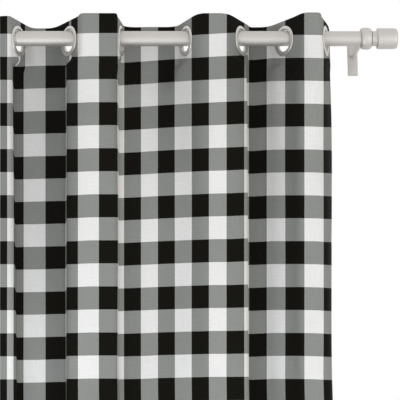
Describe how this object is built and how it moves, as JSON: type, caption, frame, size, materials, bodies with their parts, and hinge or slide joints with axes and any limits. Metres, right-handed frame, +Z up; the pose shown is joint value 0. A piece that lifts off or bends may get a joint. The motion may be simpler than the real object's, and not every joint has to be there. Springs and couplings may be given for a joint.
{
  "type": "eyelet blackout curtain on a curtain rod",
  "caption": "Blackout curtain panel in black, grey and white checks, hung in waves by metal eyelets on a satin metal rod with end caps and wall brackets.",
  "frame": {"origin": "on the wall, midway between the two brackets and level with the rod's axis", "axes": "+X along the rod to the viewer's right, +Y into the wall, -Y into the room, +Z up"},
  "size_m": [0.861, 0.1627, 1.836],
  "materials": {
    "check_cloth": "matte woven cloth in a black, grey and white check",
    "eyelet_metal": "smooth satin metal",
    "satin_metal": "warm satin metal"
  },
  "bodies": {
    "root": {"cloth": "check_cloth", "eyelet_1": "eyelet_metal", "eyelet_2": "eyelet_metal", "eyelet_3": "eyelet_metal", "eyelet_4": "eyelet_metal", "eyelet_5": "eyelet_metal", "eyelet_6": "eyelet_metal", "eyelet_7": "eyelet_metal", "eyelet_8": "eyelet_metal", "rod": "satin_metal", "end_cap_right": "satin_metal", "end_cap_left": "satin_metal", "bracket_right": "satin_metal", "bracket_left": "satin_metal"}
  },
  "joints": []
}
